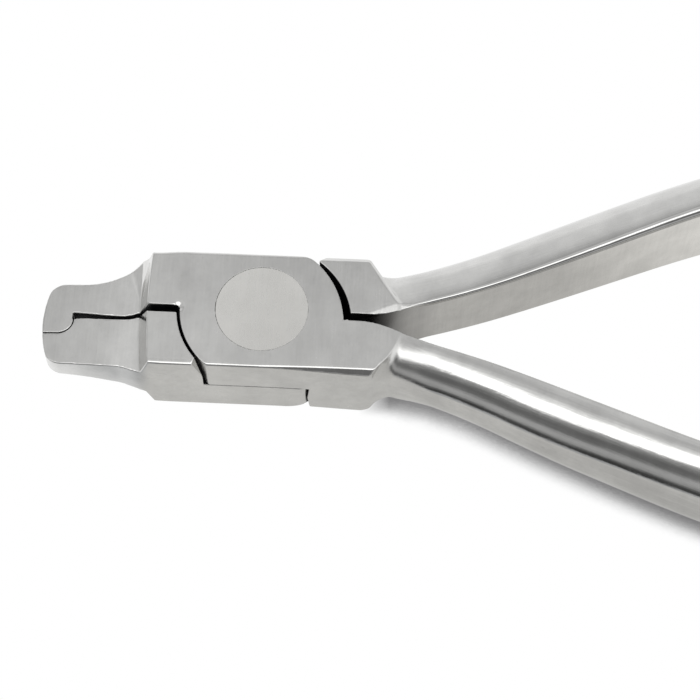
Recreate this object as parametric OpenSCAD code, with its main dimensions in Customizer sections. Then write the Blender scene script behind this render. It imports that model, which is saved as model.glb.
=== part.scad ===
// Crimping pliers with stepped jaws: two forged halves in a lap joint, held by one flush rivet.
// Millimetres. +Z points up out of the face that shows the rivet's disc.
// +X runs from the pivot to the handles, and the jaws point along -X.
// The origin is on the pivot axis, in the plane of the head's back face.

/* [Head] */
// Width of the head
head_w = 12.2; // [11.8:0.1:12.8]
// Thickness of the head, both laps together
head_t = 8.8; // [8.2:0.1:9.4]
// From the pivot axis to the front edge of the head's flat
head_front = 10.95; // [10.5:0.05:11.4]
// From the pivot axis to the rear corner of the head's flat
head_rear = 12.9; // [12.7:0.1:13.5]
// Chamfer along the head's long edges
edge_chamfer = 0.3; // [0.2:0.05:0.45]
// How much wider the upper half grows towards its handle
rear_flare = 0.35; // [0.1:0.05:0.45]

/* [Lap joint] */
// Radius of each lap's front end, about the pivot axis
lap_front_r = 7.85; // [7.65:0.05:7.95]
// Gap between a lap's front end and the other half
front_gap = 0.26; // [0.2:0.02:0.5]
// Radius of each lap's rear end
lap_rear_r = 9; // [8.9:0.05:9.05]
// Radius of the recess behind each lap's rear end
recess_rear_r = 8.8; // [8.7:0.05:8.9]
// Clearance between the faces of the two laps
lap_clear = 0.06; // [0.03:0.01:0.1]
// Width of the slot between the halves in the head
slot_w = 0.86; // [0.7:0.02:1]
// How far the slot lies to the side of the pivot axis
slot_shift = 0.38; // [0.3:0.02:0.44]

/* [Pivot] */
// Diameter of the rivet's flush disc
disc_d = 8.7; // [8:0.1:9.4]
// Thickness of the disc
disc_t = 2.2; // [1.8:0.1:2.6]
// Diameter of the rivet's shank
shank_d = 5.2; // [4.6:0.1:5.8]
// Diameter of the peened end in the back face
peen_d = 6.8; // [6.4:0.1:7.4]
// Depth of the peened end
peen_t = 0.8; // [0.6:0.1:1.2]
// Running clearance between the rivet and the half that turns on it
run_clear = 0.04; // [0.02:0.01:0.08]

/* [Jaws] */
// From the pivot axis to the end of the jaws
jaw_reach = 21.25; // [20.5:0.25:23]
// Thickness of the jaws where they leave the head
jaw_root_t = 3.4; // [3:0.1:4]
// Thickness of the jaws at the tip
jaw_tip_t = 2; // [1.6:0.1:2.6]
// Length of the bevel from the head down to the jaws
bevel_run = 0.95; // [0.8:0.05:1.3]
// Offset of the stepped jaw's outer edge from the pivot axis
jaw_far = 3.45; // [3:0.05:4]
// Offset of the seat jaw's outer edge, at the tip
jaw_near = 5; // [4.7:0.05:5.3]
// Radius of the flare from the stepped jaw to the head
flare_r = 8; // [7.4:0.1:8.4]
// Radius of the rounded jaw end, in plan
tip_r = 11.1; // [10:0.1:13]
// How far the stepped jaw's nose reaches past the pivot axis
nose_drop = 1.78; // [1.5:0.02:2.1]
// Length of the nose along the jaws
nose_len = 2.93; // [2.7:0.01:3.3]
// Radius of the nose's rounded corner
nose_r = 1.43; // [1.1:0.01:1.45]
// Width of the slit between the jaws
slit_w = 0.28; // [0.2:0.02:0.36]
// Gap left between the closed jaw tips
tip_gap = 0.06; // [0.04:0.01:0.1]

/* [Handles] */
// From the pivot axis to the end of the handles
handle_reach = 114; // [100:1:124]
// Angle of each handle's straight part to the centre line, in degrees
handle_angle = 21.8; // [20:0.2:24]
// Widest gap between the handles, where the bow has brought them parallel
grip_span = 45.3; // [42:0.1:50]
// Half height of a handle at the neck
neck_h = 3.8; // [3.4:0.1:4.1]
// Half height of a handle at the grip
grip_h = 5.3; // [4.8:0.1:5.8]
// Depth of a handle's D section at the grip
grip_d = 5.2; // [4.7:0.1:5.7]
// Chamfer along the inner edges of the handles
inner_chamfer = 0.5; // [0.3:0.05:0.7]

/* [Hidden] */
$fn = 96;
steel = [0.72, 0.73, 0.74];
rivet_steel = [0.8, 0.8, 0.79];

half_w = head_w / 2;
half_t = head_t / 2;
reach = jaw_reach + head_w;                  // longer than any cut needs to be
front_recess_r = lap_front_r + front_gap;

// Rear arcs of the upper lap and of the recess that faces it
lap_rear_c = [-1.2, -1.37];
recess_rear_c = [-0.2, -1.27];

// Edges of the slot and of the slit, each measured from the pivot's centre line
slot_half = slot_w / 2;
slot_hi = slot_half - slot_shift;
slot_lo = -slot_half - slot_shift;
slit_hi = 0.08;
slit_lo = slit_hi - slit_w;

// Jaw outline
root_x = head_front + bevel_run;
flare_x = head_front + 0.7;
flare_c = [-flare_x - sqrt(pow(flare_r, 2) - pow(flare_r + jaw_far - half_w, 2)), jaw_far + flare_r];
flare_from = atan2(half_w - flare_c[1], -flare_x - flare_c[0]);
tip_c = [tip_r - jaw_reach, -0.57];
far_corner_r = 1.1;
near_corner_r = 0.9;
far_corner_y = jaw_far - far_corner_r;
near_corner_y = near_corner_r - jaw_near;
far_corner_c = [tip_c[0] - sqrt(pow(tip_r - far_corner_r, 2) - pow(far_corner_y - tip_c[1], 2)), far_corner_y];
near_corner_c = [tip_c[0] - sqrt(pow(tip_r - near_corner_r, 2) - pow(near_corner_y - tip_c[1], 2)),
                 near_corner_y];
far_tangent = atan2(far_corner_c[1] - tip_c[1], far_corner_c[0] - tip_c[0]);
near_tangent = 360 + atan2(near_corner_c[1] - tip_c[1], near_corner_c[0] - tip_c[0]);
nose_x = jaw_reach - nose_len;
relief = [0.38, 0.5];                        // corner relief at the foot of the nose

// Handle path: an arc at the neck, a straight, then the bow
handle_from = 9;
neck_end = 24;
neck_y = 5.05;                               // inner face's offset where the straight begins
neck_bend_r = 70;
bow_from = 38;
straight_slope = tan(handle_angle);
bow_y = neck_y + straight_slope * (bow_from - neck_end);
bow_r = (grip_span / 2 - bow_y) / (1 - cos(handle_angle));
shift_run = 28;                              // length over which the handles come back to the centre line

// Handle section: it swells from the neck to the grip, then tapers to a rounded end
swell_from = 14;
swell_run = 41;
fill_from = 10;
fill_run = 25;
neck_slim = 0.5;                             // how much less deep the neck is than the grip
taper_run = 29;
taper = 0.6;                                 // loss of depth and of half height over the taper
least_chamfer = 0.1;
chamfer_from = 15;
chamfer_run = 27;
end_len = 6;                                 // length of the rounded end
rings = 26;
end_rings = 6;
arc_steps = 20;

function arc(c, r, from, to, n) =
    [for (i = [0 : n]) let (a = from + (to - from) * i / n) c + r * [cos(a), sin(a)]];
function smooth(u) = let (t = min(max(u, 0), 1)) t * t * (3 - 2 * t);

// Angle of the handle's path at x
function path_angle(x) =
    x < neck_end ? asin(sin(handle_angle) - (neck_end - x) / neck_bend_r)
    : x < bow_from ? handle_angle
    : asin(sin(handle_angle) - (x - bow_from) / bow_r);
// Offset of the handle's inner face from the centre line at x
function path_y(x) =
    x < neck_end ? neck_y - neck_bend_r * (cos(path_angle(x)) - cos(handle_angle))
    : x < bow_from ? neck_y + straight_slope * (x - neck_end)
    : bow_y + bow_r * (cos(path_angle(x)) - cos(handle_angle));
// The handles start beside the slot and come back to the pivot's centre line by the grip
function path_shift(x) = 1 - smooth((x - head_rear) / shift_run);

function tapered(x) = taper * smooth(1 - (handle_reach - x) / taper_run);
function half_height(x) = neck_h + (grip_h - neck_h) * smooth((x - swell_from) / swell_run) - tapered(x);
function depth(x) = grip_d - neck_slim * (1 - smooth((x - fill_from) / fill_run)) - tapered(x);
function chamfer(x) =
    least_chamfer + (inner_chamfer - least_chamfer) * smooth((x - chamfer_from) / chamfer_run);

// D section across the path at x, shrunk by k about its middle for the rounded end
function section(x, k, shift) =
    let (h = half_height(x), d = depth(x), c = chamfer(x), from = asin(c / d),
         mid = d * 0.42, a = path_angle(x), y0 = path_y(x) + shift * path_shift(x),
         outline = concat([[0, c - h], [0, h - c]],
                          [for (i = [0 : arc_steps]) let (t = from + (180 - 2 * from) * i / arc_steps)
                              [d * sin(t), h * cos(t)]]))
    [for (p = outline) let (q = mid + (p[0] - mid) * k) [x - q * sin(a), y0 + q * cos(a), p[1] * k]];

// Handle of the half whose handle lies towards +Y
module handle(shift) {
    last = handle_reach - end_len;
    stations = concat([for (i = [0 : rings]) [handle_from + (last - handle_from) * i / rings, 1]],
                      [for (i = [1 : end_rings]) let (u = 88 * i / end_rings)
                          [last + end_len * sin(u), cos(u)]]);
    loops = [for (s = stations) section(s[0], s[1], shift)];
    n = len(loops[0]);
    m = len(loops);
    points = [for (l = loops, p = l) p];
    sides = [for (j = [0 : m - 2], i = [0 : n - 1]) let (a = j * n + i, b = j * n + (i + 1) % n)
                each [[a, b, a + n], [b, b + n, a + n]]];
    polyhedron(points, concat(sides, [[for (i = [0 : n - 1]) n - 1 - i]],
                              [[for (i = [0 : n - 1]) (m - 1) * n + i]]));
}

// Outline of both closed jaws and the front of the head
module front_plan() {
    polygon(concat(
        [[0, -half_w], [0, half_w]],
        arc(flare_c, flare_r, flare_from, -90, 8),
        arc(far_corner_c, far_corner_r, 90, far_tangent, 5),
        arc(tip_c, tip_r, far_tangent, near_tangent, 8),
        arc(near_corner_c, near_corner_r, near_tangent, 270, 5),
        [[-root_x - 1.5, -jaw_near - 0.45], [-root_x - 0.2, -jaw_near - 0.7], [-flare_x, -half_w]]));
}

// Nose of the stepped jaw, grown by a gap where the seat is cut
module nose_plan(gap) {
    left = jaw_reach + 2;
    translate([-left, -nose_drop - gap]) square([left - nose_x - nose_r, nose_drop + gap + 1]);
    translate([-left, nose_r - nose_drop]) square([left - nose_x + gap, nose_drop - nose_r + 1]);
    translate([-nose_x - nose_r, nose_r - nose_drop]) circle(r = nose_r + gap);
}

// Rear of the head on the side of +Y, in front of the handle
module rear_plan(shift, flare) {
    polygon([[0, slot_half + shift], [lap_front_r + 0.8, slot_half + shift], [11, slot_half + 0.27 + shift],
             [head_rear, slot_half + 1.25 + shift], [head_rear - 2.4, half_w + flare], [0, half_w]]);
}

// Everything of the upper half outside the laps: its jaw, and its handle's root
module upper_own() {
    difference() {
        intersection() {
            front_plan();
            union() {
                translate([-reach, slit_hi]) square([reach, reach]);
                nose_plan(0);
            }
        }
        translate([-nose_x - 0.12, slit_hi - 0.3]) square(relief);
    }
    mirror([0, 1]) rear_plan(slot_shift, rear_flare);
}

// Everything of the lower half outside the laps
module lower_own() {
    difference() {
        intersection() {
            front_plan();
            polygon([[-reach, slit_lo], [-reach, -reach], [0, -reach], [0, slot_lo],
                     [-head_front - 0.2, slot_lo], [-root_x, slit_lo]]);
        }
        nose_plan(tip_gap);
    }
    rear_plan(-slot_shift, 0);
}

// Lap of the upper half, in plan
module lap_plan() {
    intersection() {
        translate([-head_front, -half_w]) square([head_front, head_w]);
        circle(r = lap_front_r);
    }
    intersection() {
        translate([0, -half_w]) square([head_rear, head_w]);
        translate(lap_rear_c) circle(r = lap_rear_r);
    }
}

// Room for the upper lap in the lower half, in plan
module recess_plan() {
    intersection() {
        translate([-reach, -reach]) square([reach, 2 * reach]);
        circle(r = front_recess_r);
    }
    intersection() {
        translate([0, -reach]) square([reach, 2 * reach]);
        translate(recess_rear_c) circle(r = recess_rear_r);
    }
}

module slab(from, to) {
    translate([0, 0, from]) linear_extrude(height = to - from) children();
}

// Side view of the head and jaws: the bevels and the taper of the jaws
module side_profile() {
    jaw_end = jaw_reach + 1;
    slope = (jaw_root_t - jaw_tip_t) / 2 / (jaw_reach - root_x);
    end_z = jaw_tip_t / 2 - slope;
    rotate([90, 0, 0]) translate([0, 0, -reach / 2]) linear_extrude(height = reach)
        polygon([[reach / 2, -half_t], [reach / 2, half_t], [-head_front, half_t], [-root_x, jaw_root_t / 2],
                 [-jaw_end, end_z], [-jaw_end, -end_z], [-root_x, -jaw_root_t / 2], [-head_front, -half_t]]);
}

// Cut for the chamfer along the head's top edge at -Y
module edge_cut() {
    out = 1;
    far = half_w + out;
    top = half_t + out;
    translate([-head_front - bevel_run, 0, 0]) rotate([90, 0, 90]) linear_extrude(height = reach)
        polygon([[-far, half_t - edge_chamfer - out], [edge_chamfer + out - half_w, top], [-far, top]]);
}

// Trims a half's head and jaw to the side view, and breaks the head's long edges
module trimmed() {
    difference() {
        intersection() {
            children();
            side_profile();
        }
        for (side = [0, 1], face = [0, 1]) mirror([0, side, 0]) mirror([0, 0, face]) edge_cut();
    }
}

// Half with the stepped jaw, the lap under the rivet's disc and the handle towards -Y
module upper_half() {
    color(steel) translate([0, 0, half_t]) {
        difference() {
            trimmed() {
                slab(lap_clear / 2, half_t) {
                    upper_own();
                    lap_plan();
                }
                slab(-half_t, lap_clear / 2) difference() {
                    upper_own();
                    mirror([0, 1]) recess_plan();
                }
            }
            cylinder(d = shank_d + 2 * run_clear, h = half_t);
            translate([0, 0, half_t - disc_t - run_clear]) cylinder(d = disc_d + 2 * run_clear, h = head_t);
        }
        mirror([0, 1, 0]) handle(slot_shift);
    }
}

// Half with the seat jaw, the lap at the back and the handle towards +Y
module lower_half() {
    color(steel) translate([0, 0, half_t]) {
        difference() {
            trimmed() {
                slab(-lap_clear / 2, half_t) difference() {
                    lower_own();
                    recess_plan();
                }
                slab(-half_t, -lap_clear / 2) {
                    lower_own();
                    mirror([0, 1]) lap_plan();
                }
            }
            translate([0, 0, -half_t - 1]) cylinder(d = shank_d, h = half_t + 1);
            translate([0, 0, -half_t]) cylinder(d1 = peen_d, d2 = shank_d, h = peen_t);
        }
        handle(-slot_shift);
    }
}

// Rivet: a flush disc, a shank that the upper half turns on, and an end peened into the lower half
module pivot_rivet() {
    color(rivet_steel) rotate_extrude()
        polygon([[0, 0], [peen_d / 2, 0], [shank_d / 2, peen_t], [shank_d / 2, head_t - disc_t],
                 [disc_d / 2, head_t - disc_t], [disc_d / 2, head_t], [0, head_t]]);
}

upper_half();
lower_half();
pivot_rivet();
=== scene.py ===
import math

import bpy
import numpy as np
from mathutils import Matrix


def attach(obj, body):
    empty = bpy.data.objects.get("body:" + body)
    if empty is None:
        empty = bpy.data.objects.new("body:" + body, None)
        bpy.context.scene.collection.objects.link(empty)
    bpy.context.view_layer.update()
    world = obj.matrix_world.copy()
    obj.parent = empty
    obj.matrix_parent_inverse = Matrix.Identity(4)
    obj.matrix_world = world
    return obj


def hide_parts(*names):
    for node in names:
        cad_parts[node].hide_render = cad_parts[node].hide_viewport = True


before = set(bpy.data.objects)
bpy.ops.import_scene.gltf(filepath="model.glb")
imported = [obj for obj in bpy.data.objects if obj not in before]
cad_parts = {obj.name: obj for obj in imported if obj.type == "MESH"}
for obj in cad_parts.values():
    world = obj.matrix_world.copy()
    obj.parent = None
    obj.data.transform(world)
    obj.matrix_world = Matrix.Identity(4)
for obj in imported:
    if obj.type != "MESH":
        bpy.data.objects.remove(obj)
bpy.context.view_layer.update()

MM = 0.001

# Sizes in millimetres. Heights count from the mid-plane of the head. The lower half has side 1 and the
# upper half, which has its lap on top, has side -1.

# Head, laps and rivet
HALF_T = 4.4
HEAD_FRONT, FRONT_BOW, FRONT_BOW_Y = 10.95, 0.0085, 1.8
BEVEL_RUN = 0.97
NEAR_SIDE, NEAR_GROW = 6.18, 0.3
FAR_SIDE, FAR_PINCH, FAR_GROW = 5.96, 0.2, 0.16
LAP_FRONT_R, FRONT_RECESS_R = 7.85, 8.1
LAP_REAR_R, LAP_REAR_C = 9.05, {1: (-0.78, 1.37), -1: (-1.2, 1.37)}
RECESS_REAR_R, RECESS_REAR_C = 8.42, {1: (0.15, -1.4), -1: (0.77, -1.4)}
LAP_CLEAR = 0.06
SLOT = {1: -0.1, -1: 0.81}
DISC_R, DISC_T, DISC_PROUD = 4.35, 2.2, 0.02
DISC_LIP, DISC_LIP_T = 0.06, 0.016
DISC_HOLE_C, DISC_CLEAR = (-0.024, 0.036), 0.045
SHANK_R = 2.6
PEEN_R, PEEN_T = 3.4, 0.8
RUN_CLEAR = 0.02

# Flats on the head, each as (normal, point): the rear end of each half, the two at the near end of the
# lower half's slot, and the one at the rear of its recess
REAR_END = {1: ((4.05, 2.75), (13.0, 1.75)), -1: ((1.65, 1.23), (12.45, 3.97))}
REAR_END_X = 12.25
SLOT_END = (((1.213, 0.285, 0.252), (-5.82, -5.83, HALF_T)), ((0.94, -0.34, 0.32), (-6.35, -6.2, HALF_T)))
RECESS_END = ((-0.8, 0.7), (5.05, 5.2))

# The notch in the near side, narrowest at NOTCH_Z
NOTCH_X, NOTCH_Z, NOTCH_TAPER = 4.55, -2.0, 0.1

# Edges and fillets
FINE_EDGE, BROKEN_EDGE, SMALL_EDGE = 0.06, 0.1, 0.12
HOLE_EDGE, BEVEL_EDGE, ROOT_EDGE = 0.03, 0.14, 0.25
LAP_FRONT_CORNER, LAP_REAR_CORNER, LAP_EDGE = 0.08, 0.75, 0.2
LAP_BACK_EDGE, LAP_BACK_EDGE_REAR = 0.05, 1.15
JAW_FOOT_FILLET, RECESS_FOOT_FILLET = 1.4, 0.6
NEAR_EDGE_SLANT, EDGE_SLANT = 36, 45
SHALLOW_EDGE, SHALLOW_SLANT = 0.36, 20
REAR_EDGE, REAR_EDGE_R, REAR_CORNER_R = {1: 0.35, -1: 0.8}, {1: BROKEN_EDGE, -1: 0.4}, 0.6
SLOT_CORNER, SLOT_FILLET, SLOT_FILLET_REACH = (-7.9, -0.1), 0.4, 1.2
GLINT_C, GLINT_R, GLINT_SLANT = (-7.98, -0.1), 0.58, 19.27
FACET_SLANT = 15.48
SHARP = 0.001
NO_CUT = -1.0

# Jaws
JAW_ROOT_X, JAW_ROOT_T, JAW_TAPER = 11.85, 3.4, 0.0745
JAW_UNDER, JAW_UNDER_ROOT = 0.15, 0.5
JAW_FAR, JAW_NEAR = 3.45, 5.12
FLARE_R, FLARE_C = 8.03, (-17.6, 11.48)
TIP_R, TIP_C = 11.1, (-10.22, -0.57)
TIP_FAR_CORNER, TIP_NEAR_CORNER = 1.1, 0.9
NOSE_X, NOSE_DROP, NOSE_R = 18.36, 1.78, 1.43
TIP_GAP = 0.06
RELIEF_C, RELIEF_HALF = (-18.27, 0.03), (0.165, 0.32)

# Handles
HANDLE_FROM, HANDLE_REACH, HANDLE_ANGLE = 9.2, 114.0, math.radians(21.8)
NECK_END, NECK_Y, NECK_BEND_R = 24.0, 5.05, 90.0
BOW_FROM, BOW_R = 38.0, 168.0
BOW_Y = NECK_Y + math.tan(HANDLE_ANGLE) * (BOW_FROM - NECK_END)
NECK_H, GRIP_H, GRIP_D = 3.8, 5.3, 5.2
NECK_SWELL, NECK_SWELL_RUN = 0.5, {1: 4.2, -1: 5.5}
STUB_X, STUB_RUN, STUB_D, STUB_H = 13.5, 2.0, 0.2, 0.25
OVAL_SHIFT, OVAL_SQUARE = 0.55, 0.8
TAPER_FROM, TAPER = 85.0, 0.6
END_LEN, END_MID, END_LEAST, END_CUT, END_EDGE = 6.0, 0.42, 0.03, 0.2, 0.4
PATH_SHIFT = {1: (-0.66, -0.16, 24.0, 24.0), -1: (0.3, 0.0, 12.9, 15.0)}
OPENING_FROM, OPENING = 8.3, {1: (9.5, 5.5), -1: (8.3, 5.5)}
INNER_EDGE = 0.08
FACE_END_X, WALL_END_X = 14, 10.5

# The fillet between head and handle: its radius at mid-height, the change towards the faces, and where it starts
ROOT_FILLET = {1: (2.2, -2.0, 1.5), -1: (1.0, 0.6, 0.3)}

# The slit between the jaws: each jaw's edge along x
SLIT_UPPER = ((-18.3, 0.36), (-17.1, 0.27), (-16.1, 0.18), (-15.1, 0.08), (-13.4, -0.01), (-12.6, 0.12),
              (-12.1, 0.3), (-11.6, 0.36), (-11.0, 0.2), (-10.6, 0.08))
SLIT_LOWER = ((-18.1, -0.22), (-17.1, -0.2), (-15.1, -0.27), (-13.4, -0.31), (-12.6, -0.24), (-12.1, -0.1),
              (-11.7, -0.12), (-11.2, -0.4), (-10.8, -0.66))

# Grid for the meshes: its step, the coarser steps along the handles, and the box that it fills
STEP, HANDLE_STEP, END_STEP = 0.12, 0.5, 0.18
GRID_X = ((-21.9, STEP), (16, STEP), (30, HANDLE_STEP), (104, HANDLE_STEP), (109, END_STEP), (114.9, END_STEP))
GRID_V = ((-6.9137, STEP), (6.8863, STEP))
GRID_W = ((-5.6, STEP), (5.6, STEP))
BLOCK, BATCH = 5, 2000
LEAN_STRETCH, STEEPEST, SPARE = 1.2, 1.25, 0.05
AROUND = 160


# Distances to simple shapes, negative inside, and ways to join them

def both(a, b, r):
    """What is inside a and b, with the edge between them rounded to radius r."""
    return np.minimum(np.maximum(a, b), -r) + np.hypot(np.maximum(a + r, 0), np.maximum(b + r, 0))


def either(a, b, r):
    """What is inside a or b, with a fillet of radius r where they meet."""
    return np.maximum(np.minimum(a, b), r) - np.hypot(np.maximum(r - a, 0), np.maximum(r - b, 0))


def ease(x, start, run):
    """0 up to start, 1 from start + run, and smooth between."""
    t = np.clip((x - start) / run, 0, 1)
    return t * t * (3 - 2 * t)


def circle(x, y, c, r):
    return np.hypot(x - c[0], y - c[1]) - r


def plane(flat, *at):
    """Distance past a flat, given as (normal, point)."""
    normal, point = flat
    return sum(n * (a - p) for n, p, a in zip(normal, point, at)) / math.hypot(*normal)


def chamfer(d, up, degrees):
    """A flat that leaves the head's face where d is 0, and falls by degrees."""
    slant = math.radians(degrees)
    return math.sin(slant) * d + math.cos(slant) * (up - HALF_T)


def along(x, stops):
    return np.interp(x, [s[0] for s in stops], [s[1] for s in stops])


# The handle's path, and its section

def path(x):
    """Offset of the handle's inner face from the centre line at x, and the path's angle there."""
    top = math.sin(HANDLE_ANGLE)
    s = np.where(x < NECK_END, top - (NECK_END - x) / NECK_BEND_R,
                 np.where(x < BOW_FROM, top, top - (x - BOW_FROM) / BOW_R))
    angle = np.arcsin(np.clip(s, -0.9, 0.9))
    bend = np.cos(angle) - math.cos(HANDLE_ANGLE)
    y = np.where(x < NECK_END, NECK_Y - NECK_BEND_R * bend,
                 np.where(x < BOW_FROM, NECK_Y + math.tan(HANDLE_ANGLE) * (x - NECK_END), BOW_Y + BOW_R * bend))
    return y, angle


def path_shift(x, side):
    start, end, at, run = PATH_SHIFT[side]
    return start + (end - start) * ease(x, at, run)


def inner_face(x, side):
    """The one face that runs from the slot in the head to the end of the handle."""
    y, angle = path(x)
    start, run = OPENING[side]
    slot = SLOT[side]
    return slot + (y + path_shift(x, side) - slot) * ease(x, start, run), np.cos(angle)


def end_taper(x):
    return TAPER * ease(x, TAPER_FROM, HANDLE_REACH - TAPER_FROM)


def half_height(x, side):
    """Half the height of the handle's inner face."""
    neck = NECK_SWELL * (1 - ease(x, 12, NECK_SWELL_RUN[side]))
    return NECK_H + neck + (GRIP_H - NECK_H) * ease(x, 14, 41) - end_taper(x)


def depth(x, side):
    """How far the handle's back stands off its inner face."""
    if side > 0:
        slim = 0.3 * (1 - ease(x, 10, 25)) - 0.45 * ease(x, 14, 26) * (1 - ease(x, 44, 24))
    else:
        slim = 0.6 * (1 - ease(x, 14, 19)) + 0.35 * (1 - ease(x, 16, 16))
    return GRIP_D - slim - end_taper(x)


def handle(x, v, z, side):
    """The handle's rounded back, before its inner face is cut. The section is an oval, squarer at the upper
    half's neck, and it shrinks about END_MID of its depth to round the handle's end."""
    y, angle = path(x)
    d = (v - y - path_shift(x, side)) * np.cos(angle)
    at = x + d * np.sin(angle)
    stub = np.clip(STUB_X - x, 0, STUB_RUN) ** 2 / (2 * STUB_RUN) + np.clip(STUB_X - STUB_RUN - x, 0, 2 * STUB_RUN)
    past = OVAL_SHIFT * (1 - ease(x, 18, 18))
    a = depth(at, side) - STUB_D * stub + past
    h = (half_height(at, side) - STUB_H * stub) / np.sqrt(1 - (past / a) ** 2)
    k = np.sqrt(np.clip(1 - ((at - HANDLE_REACH + END_LEN) / END_LEN).clip(0) ** 2, END_LEAST, 1))
    mid = END_MID * a
    d = mid + (d - mid) / k + past
    z = z / k
    p = 2 + (OVAL_SQUARE * (1 - ease(x, 11.5, 5.5)) if side < 0 else 0)
    d, z = np.abs(d / a) + 1e-9, np.abs(z / h) + 1e-9
    e = (d ** p + z ** p) ** (1 / p)
    slope = np.hypot(d ** (p - 1) / a, z ** (p - 1) / h) / e ** (p - 1)
    return np.maximum(both((e - 1) / slope * k, at - HANDLE_REACH + END_CUT, END_EDGE), HANDLE_FROM - x)


# The head and jaws, in plan

def near_side(x):
    return NEAR_SIDE + NEAR_GROW * ease(x, 1, 10.5)


def far_side(x):
    return FAR_SIDE - FAR_PINCH * ease(-x, 7.5, 3.2) + FAR_GROW * ease(x, 3, 2)


def front_outline(x, y):
    """Both closed jaws and the front of the head."""
    gone = np.minimum(np.maximum(x - FLARE_C[0], JAW_FAR - y), circle(x, y, FLARE_C, FLARE_R))
    far = np.maximum(y - far_side(x), -gone)
    near = -y - np.minimum(JAW_NEAR + 0.05 * (x + 18) + 0.62 * ease(x, -14, 3.4), near_side(x))
    tip = circle(x, y, TIP_C, TIP_R)
    return np.maximum(both(far, tip, TIP_FAR_CORNER), both(near, tip, TIP_NEAR_CORNER))


def front_part(x, y, side):
    """One half's share of the front: what lies on its side of the slit, the nose and the relief."""
    nose = both(x + NOSE_X, -NOSE_DROP - y, NOSE_R)
    relief = np.maximum(np.abs(x - RELIEF_C[0]) - RELIEF_HALF[0], np.abs(y - RELIEF_C[1]) - RELIEF_HALF[1])
    if side < 0:
        part = np.minimum(along(x, SLIT_UPPER) - y, nose)
    else:
        part = np.maximum(y - along(x, SLIT_LOWER), TIP_GAP - nose)
    part = np.maximum(part, -relief)
    return np.maximum(both(front_outline(x, y), part, FINE_EDGE), x)


def side_profile(x, y, z):
    """The head's flats, the bevels and the jaws' taper."""
    up = np.abs(z)
    front = HEAD_FRONT - FRONT_BOW * (y - FRONT_BOW_Y) ** 2
    drop = HALF_T - JAW_ROOT_T / 2
    bevel = (BEVEL_RUN * (up - HALF_T) - drop * (x + front)) / math.hypot(BEVEL_RUN, drop)
    under = np.where(z < 0, JAW_UNDER + JAW_UNDER_ROOT * ease(x, -17.5, 5), 0)
    jaw = up - JAW_ROOT_T / 2 - JAW_TAPER * (x + JAW_ROOT_X) - under
    return either(both(up - HALF_T, bevel, BEVEL_EDGE), jaw, SMALL_EDGE + JAW_FOOT_FILLET * ease(y, 1, 4.5))


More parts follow.
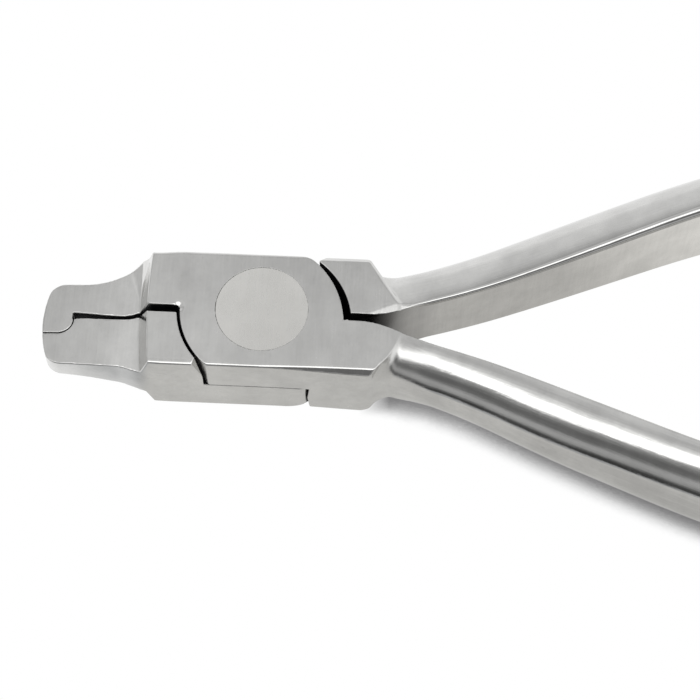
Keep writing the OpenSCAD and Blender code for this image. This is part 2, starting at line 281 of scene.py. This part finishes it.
def half(x, v, w, side):
    """One half of the pliers. v points to its own handle, and its lap is at w < 0."""
    y, z = side * v, side * w
    r = np.hypot(x, v)
    up = np.abs(z)
    inner, cos_a = inner_face(x, side)
    wall = np.where(y < 0, -y - near_side(x), y - far_side(x))

    # Plan of what lies outside the laps: the jaw's block and the handle's root
    rear_end = plane(REAR_END[side], x, v)
    if side < 0:
        rear_end = both(x - REAR_END_X, rear_end, REAR_CORNER_R)
    rear = np.maximum(both(wall, rear_end, ROOT_EDGE), np.maximum(-x, inner - v))
    own = np.minimum(front_part(x, y, side), rear)

    # Plan of this half's lap, and of the recess for the other half's lap
    recess = np.where(x < 0, r - FRONT_RECESS_R, circle(x, v, RECESS_REAR_C[side], RECESS_REAR_R))
    lap_end = np.where(x < 0, r - LAP_FRONT_R, circle(x, v, LAP_REAR_C[side], LAP_REAR_R))
    if side < 0:
        notch = x - NOTCH_X - NOTCH_TAPER * np.abs(z - NOTCH_Z)
        recess = np.where(x < 0, recess, np.minimum(recess, notch))
        lap = both(wall, lap_end, np.where(x > 0, LAP_REAR_CORNER, LAP_FRONT_CORNER))
    else:
        cut = np.maximum(*(plane(flat, x, y, z) for flat in SLOT_END))
        recess = np.where(x < 0, np.minimum(recess, -cut), recess)
        recess = np.where((x > 0) & (v > 0), np.minimum(recess, -plane(RECESS_END, x, v)), recess)
        back_edge = LAP_BACK_EDGE + LAP_BACK_EDGE_REAR * ease(x, 0.5, 2.5)
        lap = both(wall, both(lap_end, -z - HALF_T, back_edge), LAP_EDGE)

    # Block outside the laps, and slab on this half's side of the mid-plane
    profile = side_profile(x, y, z)
    if side < 0:
        foot = RECESS_FOOT_FILLET * ease(-z, 0.8, 1) * ease(x, 2, 1)
        fillet = np.maximum(SLOT_FILLET * (1 - circle(x, v, SLOT_CORNER, 0) / SLOT_FILLET_REACH), SHARP)
        slab_edge = SMALL_EDGE
    else:
        foot = 0
        fillet = SHARP
        slab_edge = np.where((z < 0) & (x > -8.2), 2 * SHARP, SMALL_EDGE)
    block = both(both(own, -recess, BROKEN_EDGE), profile, SMALL_EDGE + foot)
    slab = both(both(either(own, lap, fillet), profile, slab_edge), w + LAP_CLEAR / 2, FINE_EDGE)
    head = np.minimum(block, slab)

    # Broken edges: small ones below, wider above towards the handles, a shallow one on the lower half's front
    if side < 0:
        edge = np.where(y < 0, 0.2 + 0.42 * ease(x, -1, 12), 0.22)
    else:
        edge = np.where(v > 0, 0.62 * ease(x, 3, 2), SMALL_EDGE)
        shallow = chamfer(wall + SHALLOW_EDGE, up, SHALLOW_SLANT)
        head = both(head, np.where((v < 0) & (z > 0), shallow, NO_CUT), BROKEN_EDGE)
    edge = wall + np.where(z < 0, SMALL_EDGE, edge)
    slanted = np.where((side < 0) & (y < 0), chamfer(edge, up, NEAR_EDGE_SLANT), chamfer(edge, up, EDGE_SLANT))
    head = both(head, slanted, BROKEN_EDGE)
    rear_edge = chamfer(rear_end + REAR_EDGE[side], up, EDGE_SLANT)
    broken = (v > 0) & ((side > 0) | (z < 0))
    head = both(head, np.where(broken, rear_edge, NO_CUT), REAR_EDGE_R[side])

    # Handle, its fillet to the head, and the inner face with its rounded edges
    radius, change, start = ROOT_FILLET[side]
    d = either(head, handle(x, v, w, side), radius + change * ease(up, start, 2))
    d = np.maximum(d, up - HALF_T - np.maximum(x - FACE_END_X, 0))
    d = np.maximum(d, wall - np.maximum(x - WALL_END_X, 0))
    if side > 0:
        edge = 0.4 * ease(x, 12.5, 4) + 0.5 * ease(x, 16, 30)
    else:
        edge = 0.12 * ease(x, 12.5, 4) + 0.4 * ease(x, 40, 15)
    d = both(d, np.minimum(x - OPENING_FROM, inner - v) * cos_a, INNER_EDGE + edge)

    # A facet beside the lower half's opening, a glint on the corner of the upper half's slot, and the holes
    # for the rivet
    if side > 0:
        line = 0.14 + 0.427 * (np.minimum(x, 14.7) - 10) + 0.6 * ease(x, 12.9, 0.4)
        line = line + 0.25 * np.clip(x - 13.3, 0, 1.4)
        d = both(d, np.where(x > 9, chamfer(line - v, up, FACET_SLANT), NO_CUT), FINE_EDGE)
        hole = np.minimum(r - SHANK_R, (r - SHANK_R + (z + HALF_T - PEEN_T)) / math.sqrt(2))
    else:
        glint = chamfer(-circle(x, y, GLINT_C, GLINT_R), up, GLINT_SLANT)
        d = both(d, np.where(z > 0, glint, NO_CUT), HOLE_EDGE)
        hole = np.minimum(r - SHANK_R - RUN_CLEAR,
                          np.maximum(circle(x, y, DISC_HOLE_C, DISC_R + DISC_CLEAR),
                                     HALF_T - DISC_T - RUN_CLEAR - z))
    return both(d, -hole, HOLE_EDGE)


# Meshing: one vertex in each grid cell that the surface crosses, then moved onto the surface

def grid_line(*stops):
    """Grid positions from stops of (position, step)."""
    out = [stops[0][0]]
    for (a, step_a), (b, step_b) in zip(stops, stops[1:]):
        n = max(2, int(round((b - a) / ((step_a + step_b) / 2))))
        u = np.linspace(0, 1, n + 1)[1:]
        bend = (step_b - step_a) / (step_a + step_b)
        out.extend(a + (b - a) * (u + bend * (u * u - u)))
    return np.array(out)


def lean(x):
    """Shear of the grid, so that it follows the handle."""
    return path(x)[0] * ease(x, 9, 9)


def sample(field, lines, b=BLOCK):
    """The field at the grid's points. Blocks of b points a side that are far from the surface get only their
    sign."""
    shape = tuple(len(a) for a in lines)
    starts = [np.arange(0, n, b) for n in shape]
    mids = [a[np.minimum(s + b // 2, len(a) - 1)] for a, s in zip(lines, starts)]
    reach = [np.maximum(a[np.minimum(s + b, len(a) - 1)] - m, m - a[s]) for a, s, m in zip(lines, starts, mids)]
    x = mids[0][:, None, None]
    rough = field(x, mids[1][None, :, None] + lean(x), mids[2][None, None, :])
    reach = np.sqrt((LEAN_STRETCH * reach[0][:, None, None]) ** 2 + reach[1][None, :, None] ** 2
                    + reach[2][None, None, :] ** 2)
    f = np.sign(rough).astype(np.float32)
    for axis, n in enumerate(shape):
        f = np.repeat(f, b, axis).take(np.arange(n), axis)
    blocks = np.argwhere(np.abs(rough) < STEEPEST * reach + SPARE) * b
    offset = np.stack(np.meshgrid(*[np.arange(b)] * 3, indexing="ij"), -1).reshape(1, -1, 3)
    for i in range(0, len(blocks), BATCH):
        at = (blocks[i:i + BATCH, None] + offset).reshape(-1, 3)
        at = at[(at < shape).all(1)].T
        x = lines[0][at[0]]
        f[tuple(at)] = field(x, lines[1][at[1]] + lean(x), lines[2][at[2]])
    return f


def mesh_of(field, *lines):
    f = sample(field, lines)
    s = f < 0
    count = np.zeros(tuple(n - 1 for n in s.shape), np.int8)
    corners = [(a, b, c) for a in (0, 1) for b in (0, 1) for c in (0, 1)]
    for a, b, c in corners:
        count += s[a:a + count.shape[0], b:b + count.shape[1], c:c + count.shape[2]]
    cells = np.argwhere((count > 0) & (count < len(corners)))
    total = np.zeros((len(cells), 3))
    hits = np.zeros(len(cells))
    for p in corners:
        for axis in range(3):
            if p[axis]:
                continue
            q = tuple(1 if k == axis else p[k] for k in range(3))
            fa = f[tuple((cells + p).T)].astype(float)
            fb = f[tuple((cells + q).T)].astype(float)
            cross = (fa < 0) != (fb < 0)
            t = np.where(cross, fa / np.where(cross, fa - fb, 1), 0)
            at = np.array(p, float) + t[:, None] * (np.array(q) - np.array(p))
            total[cross] += at[cross]
            hits[cross] += 1
    at = cells + total / hits[:, None]
    points = np.stack([np.interp(at[:, k], np.arange(len(a)), a) for k, a in enumerate(lines)], 1)
    points[:, 1] += lean(points[:, 0])
    number = np.full(count.shape, -1, np.int32)
    number[tuple(cells.T)] = np.arange(len(cells))
    quads = []
    for axis in range(3):
        lo = [slice(None)] * 3
        hi = [slice(None)] * 3
        lo[axis], hi[axis] = slice(0, -1), slice(1, None)
        e = np.argwhere(s[tuple(lo)] != s[tuple(hi)])
        j, k = (axis + 1) % 3, (axis + 2) % 3
        ring = []
        for dj, dk in ((-1, -1), (0, -1), (0, 0), (-1, 0)):
            c = e.copy()
            c[:, j] += dj
            c[:, k] += dk
            ring.append(number[tuple(c.T)])
        ring = np.stack(ring, 1)
        out = s[tuple(e.T)]
        quads.append(np.where(out[:, None], ring, ring[:, ::-1]))
    return points, np.concatenate(quads)


def value_and_slope(field, p, eps=0.01):
    """The field and its gradient at p, from four points about p."""
    value = np.zeros(len(p))
    slope = np.zeros_like(p)
    for k in ((1, -1, -1), (-1, -1, 1), (-1, 1, -1), (1, 1, 1)):
        k = np.array(k)
        f = field(*(p + eps * k).T)
        value += f / 4
        slope += f[:, None] * k / (4 * eps)
    return value, slope


def settle(field, p, rounds=3, most=0.1):
    """Moves points onto the surface, by at most `most` a round, and gives the surface's normals there."""
    for k in range(rounds):
        f, g = value_and_slope(field, p)
        if k < rounds - 1:
            move = f[:, None] * g / np.maximum((g * g).sum(1), 0.05)[:, None]
            far = np.linalg.norm(move, axis=1)[:, None]
            p = p - move * np.minimum(1, most / np.maximum(far, 1e-9))
    return p, g / np.maximum(np.linalg.norm(g, axis=1), 1e-9)[:, None]


def make_object(name, points, faces, normals=None):
    mesh = bpy.data.meshes.new(name)
    mesh.from_pydata(points.tolist(), [], faces)
    mesh.update()
    mesh.shade_smooth()
    if normals is not None:
        mesh.normals_split_custom_set_from_vertices(normals.tolist())
    ob = bpy.data.objects.new(name, mesh)
    bpy.context.scene.collection.objects.link(ob)
    return ob


GAP_REACHES = (0.2, 0.4, 0.7)
ROOM_MOST, ROOM_STEPS, NEAR_REACH = 8.0, 12, 5.5
FACES_IN = 0.6


def build_half(name, side):
    def field(x, v, w):
        return half(x, v, w, side)

    def other(x, v, w):
        return half(x, -v, -w, -side)

    points, quads = mesh_of(field, grid_line(*GRID_X), grid_line(*GRID_V), grid_line(*GRID_W))
    points, normals = settle(field, points)
    x, y, z = points[:, 0], side * points[:, 1], side * points[:, 2]

    # How closely the other half faces each point, for the painted shade in the gaps: less at the slot's near end
    gap = np.zeros(len(points))
    for reach in GAP_REACHES:
        ahead = points + normals * reach
        gap = np.maximum(gap, np.clip((0.75 * reach - other(*ahead.T)) / (0.5 * reach), 0, 1))
    gap *= 1 - ease(x, 8.8, 1.6)
    gap *= 1 - 0.85 * ease(-y, 4.6, 0.6) * (x < -3) * (z > 0.5)

    # How far off the other half is across the open crotch, for the painted shade there, and where the inner faces are
    inside = (x > 9) & (normals[:, 1] < -FACES_IN)
    room = np.full(len(points), ROOM_MOST)
    at, out = points[inside], normals[inside]
    ahead = np.full(len(at), 0.1)
    for _ in range(ROOM_STEPS):
        ahead = np.minimum(ahead + 0.9 * np.maximum(other(*(at + out * ahead[:, None]).T), 0), ROOM_MOST)
    room[inside] = ahead
    near = np.clip((NEAR_REACH - room) / NEAR_REACH, 0, 1)
    face = np.clip((-normals[:, 1] - FACES_IN) / 0.25, 0, 1) * ease(x, 10, 3)

    # Where the broken edges are, and how far each point lies from the handle's path
    up = np.abs(normals[:, 2])
    trim = np.clip((up - 0.3) / 0.1, 0, 1) * np.clip((0.985 - up) / 0.02, 0, 1) * (x < 11.5)
    offset = points[:, 1] - path(x)[0]

    turn = np.array((1, side, side))
    points, normals = points * turn, normals * turn
    points[:, 2] += HALF_T
    ob = make_object(name, points * MM, quads.tolist(), normals)
    for key, values in (("gap", gap), ("near", near), ("face", face), ("trim", trim), ("offset", offset)):
        ob.data.attributes.new(key, "FLOAT", "POINT").data.foreach_set("value", values)
    return ob


def build_rivet():
    """Disc, shank and peened end, turned from one profile."""
    e, n = 0.01, AROUND
    top = 2 * HALF_T + DISC_PROUD
    lip_r, shank_r, peen_r = DISC_R + DISC_LIP, SHANK_R - e, PEEN_R - e
    profile = [(lip_r - e, top), (lip_r, top - e), (lip_r, top - DISC_LIP_T), (DISC_R, top - DISC_LIP_T),
               (DISC_R, top - DISC_T), (shank_r, top - DISC_T), (shank_r, PEEN_T - e),
               (peen_r - 0.05, 0.04), (peen_r - 0.1, 0)]
    points = [(0, 0, top)]
    for r, z in profile:
        points += [(r * math.cos(2 * math.pi * i / n), r * math.sin(2 * math.pi * i / n), z) for i in range(n)]
    points.append((0, 0, 0))
    faces = [(0, 1 + i, 1 + (i + 1) % n) for i in range(n)]
    for k in range(len(profile) - 1):
        a = 1 + k * n
        faces += [(a + i, a + n + i, a + n + (i + 1) % n, a + (i + 1) % n) for i in range(n)]
    a = 1 + (len(profile) - 1) * n
    faces += [(a + (i + 1) % n, a + i, len(points) - 1) for i in range(n)]
    ob = make_object("rivet", np.array(points) * MM, faces)
    ob.data.set_sharp_from_angle(angle=math.radians(35))
    return ob


# Materials

class Nodes:
    """Short calls for building a node tree."""

    def __init__(self, tree):
        self.tree = tree
        tree.nodes.clear()

    def put(self, node, key, value):
        if isinstance(value, bpy.types.NodeSocket):
            self.tree.links.new(value, node.inputs[key])
        else:
            node.inputs[key].default_value = value

    def add(self, kind, inputs=None, **props):
        node = self.tree.nodes.new(kind)
        for key, value in props.items():
            setattr(node, key, value)
        for key, value in (inputs or {}).items():
            self.put(node, key, value)
        return node

    def math(self, op, a, b=0.0):
        return self.add("ShaderNodeMath", {0: a, 1: b}, operation=op).outputs[0]

    def fit(self, value, lo, hi, to_lo, to_hi, kind="LINEAR"):
        return self.add("ShaderNodeMapRange", {0: value, 1: lo, 2: hi, 3: to_lo, 4: to_hi},
                        interpolation_type=kind).outputs[0]

    def noise(self, vector, size, detail, rough):
        at = self.add("ShaderNodeVectorMath", {0: vector, 1: size}, operation="MULTIPLY").outputs[0]
        return self.add("ShaderNodeTexNoise", {"Vector": at, "Scale": 1.0, "Detail": detail, "Roughness": rough}
                        ).outputs["Fac"]

    def blend(self, factor, a, b):
        return self.add("ShaderNodeMix", {0: factor, 2: a, 3: b}).outputs[0]

    def mix(self, factor, a, b):
        return self.add("ShaderNodeMix", {0: factor, 6: a, 7: b}, data_type="RGBA").outputs[2]


def grey(level):
    return (level, level, level, 1)


PAINTED_SHADE = (0.018, 0.018, 0.02, 1)
EDGE_GLOSS, HANDLE_GLOSS, GAP_ROUGH = 0.1, 0.08, 0.6
NOISE = (0.25, 0.75)


def steel(name, tint, flat_gloss, worn, fall, grain):
    """Brushed stainless steel: lines across the head, lines along the handles, and painted shade in the gaps and the
    crotch.
    """
    mat = bpy.data.materials.new(name)
    mat.use_nodes = True
    n = Nodes(mat.node_tree)
    place = n.add("ShaderNodeTexCoord").outputs["Object"]
    xyz = n.add("ShaderNodeSeparateXYZ", {0: place}).outputs
    gap, near, face, trim, offset = (n.add("ShaderNodeAttribute", attribute_name=key).outputs["Fac"]
                                     for key in ("gap", "near", "face", "trim", "offset"))
    offset = n.math("MULTIPLY", offset, MM)

    # The painted shade of the gaps and the crotch shows only where the other half is still close by
    beside, across = (n.add("ShaderNodeAmbientOcclusion", {"Distance": reach}, samples=8).outputs["AO"]
                      for reach in (0.0015, 0.006))
    gap = n.math("MULTIPLY", gap, n.fit(beside, 0.5, 0.85, 1, 0))
    near = n.math("MULTIPLY", near, n.fit(across, 0.8, 0.97, 1, 0))

    on_handle = n.fit(xyz[0], 0.0122, 0.0148, 0, 1, "SMOOTHSTEP")
    down = n.add("ShaderNodeCombineXYZ", {0: xyz[0], 1: offset, 2: xyz[2]}).outputs[0]
    lines = n.noise(place, (5200, 190, 5200), 3.0, 0.6)
    streaks = n.noise(down, (120, 5200, 5200), 3.0, 0.65)
    cloud = n.noise(place, (330, 240, 330), 4.0, 0.62)
    grit = n.noise(place, (4200, 2600, 4200), 2.0, 0.5)
    ground = n.noise(place, (3600, 3600, 240), 3.0, 0.6)
    brushed = n.blend(face, n.blend(on_handle, lines, streaks), ground)

    shade = n.math("ADD", n.fit(cloud, *NOISE, 1 - worn, 1 + worn), n.fit(brushed, *NOISE, -grain, grain))
    shade = n.math("ADD", shade, n.fit(grit, 0.66, 0.8, 0, -0.10))
    # Painted light and shade by place: lighter on the jaws and front of the head, darker at the jaw tips and towards
    # the rear, and graded across the width
    light_by_place = n.math("ADD", n.fit(xyz[0], -0.0125, -0.0105, 1.2, 1.07, "SMOOTHSTEP"),
                  n.fit(xyz[0], -0.006, 0.001, 0.0, -0.07))
    light_by_place = n.math("ADD", light_by_place, n.fit(xyz[0], -0.0175, -0.0125, -0.18, 0.0, "SMOOTHSTEP"))
    light_by_place = n.math("ADD", light_by_place, n.fit(xyz[1], 0.0045, -0.004, -0.67 * fall, 0.33 * fall))
    shade = n.math("MULTIPLY", shade, light_by_place)
    colour = n.add("ShaderNodeVectorMath", {0: tint, "Scale": shade}, operation="SCALE").outputs[0]
    # Painted shade: the inner faces in the crotch between the handles are mixed towards a near-black colour
    colour = n.mix(near, colour, PAINTED_SHADE)
    # Painted shade: the narrow gaps between the halves are mixed towards a near-black colour
    colour = n.mix(n.fit(gap, 0.15, 0.8, 0, 1), colour, PAINTED_SHADE)

    gloss = n.fit(xyz[0], 0.0125, 0.018, flat_gloss, HANDLE_GLOSS, "SMOOTHSTEP")
    gloss = n.blend(trim, gloss, EDGE_GLOSS)
    rough = n.math("ADD", gloss, n.fit(brushed, *NOISE, -0.04, 0.05))
    rough = n.math("ADD", rough, n.fit(cloud, 0.3, 0.7, -0.025, 0.025))
    rough = n.blend(gap, rough, GAP_ROUGH)
    bump = n.add("ShaderNodeBump", {"Strength": 7.8 * grain, "Distance": 0.000012, "Height": brushed}).outputs[0]
    bump = n.add("ShaderNodeBump", {"Strength": 0.2, "Distance": 0.00008, "Height": cloud, "Normal": bump}).outputs[0]
    shader = n.add("ShaderNodeBsdfPrincipled", {"Base Color": colour, "Metallic": 1.0, "Roughness": rough,
                                                "Normal": bump})
    n.add("ShaderNodeOutputMaterial", {"Surface": shader.outputs[0]})
    return mat


# The pieces

upper = build_half("upper_half_forging", -1)
lower = build_half("lower_half_forging", 1)
rivet = build_rivet()
forged = steel("forged_steel", (0.62, 0.618, 0.607), flat_gloss=0.22, worn=0.11, fall=0.045, grain=0.045)
turned = steel("rivet_steel", (0.765, 0.757, 0.731), flat_gloss=0.28, worn=0.05, fall=-0.06, grain=0.016)
for ob, node, body, mat, slot in ((upper, "upper_half", "upper", forged, "forged_steel"),
                                  (lower, "lower_half", "lower", forged, "forged_steel"),
                                  (rivet, "pivot_rivet", "lower", turned, "rivet_steel")):
    ob.data.materials.append(mat)
    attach(ob, body)
    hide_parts(node)


# Floor: white to the camera, with the shadow under the near handle, and greys by place to reflections

FLOOR_Z, FLOOR_HALF = -0.0009, 3
SHADOW = (0.205, 0.203, 0.205, 1)
NECK_GREY, GRIP_GREY, TIP_GREY = (0.7, 0.693, 0.675, 1), (0.57, 0.565, 0.55, 1), (0.475, 0.482, 0.49, 1)
WARM = (1, 0.982, 0.945)
floor = make_object("floor", np.array([(-FLOOR_HALF, -FLOOR_HALF, FLOOR_Z), (FLOOR_HALF, -FLOOR_HALF, FLOOR_Z),
                                       (FLOOR_HALF, FLOOR_HALF, FLOOR_Z), (-FLOOR_HALF, FLOOR_HALF, FLOOR_Z)]),
                    [(0, 1, 2, 3)])
mat = bpy.data.materials.new("floor")
mat.use_nodes = True
n = Nodes(mat.node_tree)
open_sky = n.add("ShaderNodeAmbientOcclusion", {"Distance": 0.0045}, samples=16).outputs["AO"]
rays = n.add("ShaderNodeLightPath").outputs
where = n.add("ShaderNodeSeparateXYZ", {0: n.add("ShaderNodeNewGeometry").outputs["Position"]}).outputs
beside = n.math("MULTIPLY", n.fit(where[0], 0.0095, 0.0125, 0, 1), n.fit(where[1], -0.002, -0.004, 0, 1))
low = n.math("SUBTRACT", n.fit(where[0], 0.012, 0.017, 0, 0.05), n.fit(where[0], 0.023, 0.03, 0, 0.02))
shadow = n.math("MULTIPLY", beside, n.fit(n.math("SUBTRACT", open_sky, low), 0.39, 0.555, 1, 0))
seen = n.mix(shadow, grey(1), SHADOW)
front = n.mix(n.fit(where[0], 0.002, 0.045, 0, 1), NECK_GREY, GRIP_GREY)
front = n.mix(n.fit(where[0], -0.0115, -0.014, 0, 1), front, TIP_GREY)
middle = n.math("ADD", n.fit(where[0], 0.012, 0.03, 0.6, 0.64), n.fit(where[0], 0.031, 0.047, 0, 0.36))
middle = n.add("ShaderNodeCombineColor",
               {k: n.math("MULTIPLY", middle, level) for k, level in enumerate(WARM)}).outputs[0]
past = n.math("ADD", where[1], n.math("MULTIPLY", where[0], -0.42))
mirrored = n.mix(n.fit(where[1], -0.006, -0.001, 0, 1), front, middle)
mirrored = n.mix(n.fit(past, -0.002, 0.001, 0, 1), mirrored, grey(1.05))
# Painted shade in the reflections: the reflected floor turns darker where the object hides it
mirrored = n.mix(n.fit(open_sky, 0.3, 0.62, 0.3, 0), mirrored, grey(0.25))
mirrored = n.mix(n.fit(open_sky, 0.06, 0.4, 0, 1), grey(0.03), mirrored)
colour = n.mix(rays["Is Camera Ray"], mirrored, seen)
glow = n.add("ShaderNodeEmission", {"Color": colour, "Strength": 1.0}).outputs[0]
n.add("ShaderNodeOutputMaterial", {"Surface": glow})
floor.data.materials.append(mat)


# Brightness of the studio by angle from overhead: negative towards the camera's side, positive to the back.
# Towards the left and right ends it evens out.

SKY = [(-180, 0.62), (-97, 0.68), (-95, 0.06), (-83, 0.06), (-78, 0.14), (-73, 0.38), (-67, 0.47), (-60, 0.47),
       (-55, 0.3), (-51, 0.19), (-41, 0.17), (-36, 0.25), (-30, 0.4), (-26.5, 0.62), (-25, 2.0), (-9, 2.0),
       (-5, 1.1), (0, 0.82), (5, 0.63), (10, 0.63), (16, 0.74), (25, 0.79), (28, 0.7), (31, 0.57), (36, 0.5),
       (40, 0.51), (44, 0.6), (49, 0.73), (54, 0.8), (60, 0.84), (80, 0.9), (90, 1.0)]
LEFT, RIGHT_FRONT, RIGHT_BACK = 0.58, 1.15, 0.75
PEAK = 2.0
world = bpy.data.worlds.new("studio")
bpy.context.scene.world = world
world.use_nodes = True
n = Nodes(world.node_tree)
way = n.add("ShaderNodeTexCoord").outputs["Generated"]
xyz = n.add("ShaderNodeSeparateXYZ", {0: way}).outputs
angle = n.math("ARCTAN2", xyz[1], xyz[2])
ramp = n.add("ShaderNodeValToRGB", {"Fac": n.fit(angle, -math.pi, math.pi, 0, 1)})
els = ramp.color_ramp.elements
while len(els) > 1:
    els.remove(els[-1])
for k, (deg, level) in enumerate(SKY):
    el = els.new(deg / 360 + 0.5) if k else els[0]
    el.color = grey(level / PEAK)
light = n.mix(n.fit(xyz[0], -0.5, -0.9, 0, 1, "SMOOTHSTEP"), ramp.outputs[0], grey(LEFT / PEAK))
right = n.mix(n.fit(xyz[1], -0.2, 0.3, 0, 1), grey(RIGHT_FRONT / PEAK), grey(RIGHT_BACK / PEAK))
light = n.mix(n.fit(xyz[0], 0.5, 0.9, 0, 1, "SMOOTHSTEP"), light, right)
studio = n.add("ShaderNodeBackground", {"Color": light, "Strength": PEAK}).outputs[0]
n.add("ShaderNodeOutputWorld", {"Surface": studio})


# The photograph's view: 64 degrees above the horizon, a little to the right of square on

AZ, EL = math.radians(2.6), math.radians(64.3)
CAMERA_AT = (0.012674, -0.093919, 0.191495 + HALF_T * MM)
SENSOR, FOCAL_PX, IMAGE_PX = 36, 2200, 700
cam = bpy.data.cameras.new("camera")
cam.sensor_width = SENSOR
cam.lens = FOCAL_PX / IMAGE_PX * SENSOR
cam.clip_start = 0.01
view = bpy.data.objects.new("camera", cam)
bpy.context.scene.collection.objects.link(view)
back = np.array((math.sin(AZ) * math.cos(EL), -math.cos(AZ) * math.cos(EL), math.sin(EL)))
right = np.array((math.cos(AZ), math.sin(AZ), 0))
up = np.cross(back, right)
turned_to = np.stack([right, up, back], 1).tolist()
view.matrix_world = Matrix([[*row, p] for row, p in zip(turned_to, CAMERA_AT)] + [[0, 0, 0, 1]])
bpy.context.scene.camera = view
bpy.context.scene.view_settings.view_transform = "Standard"
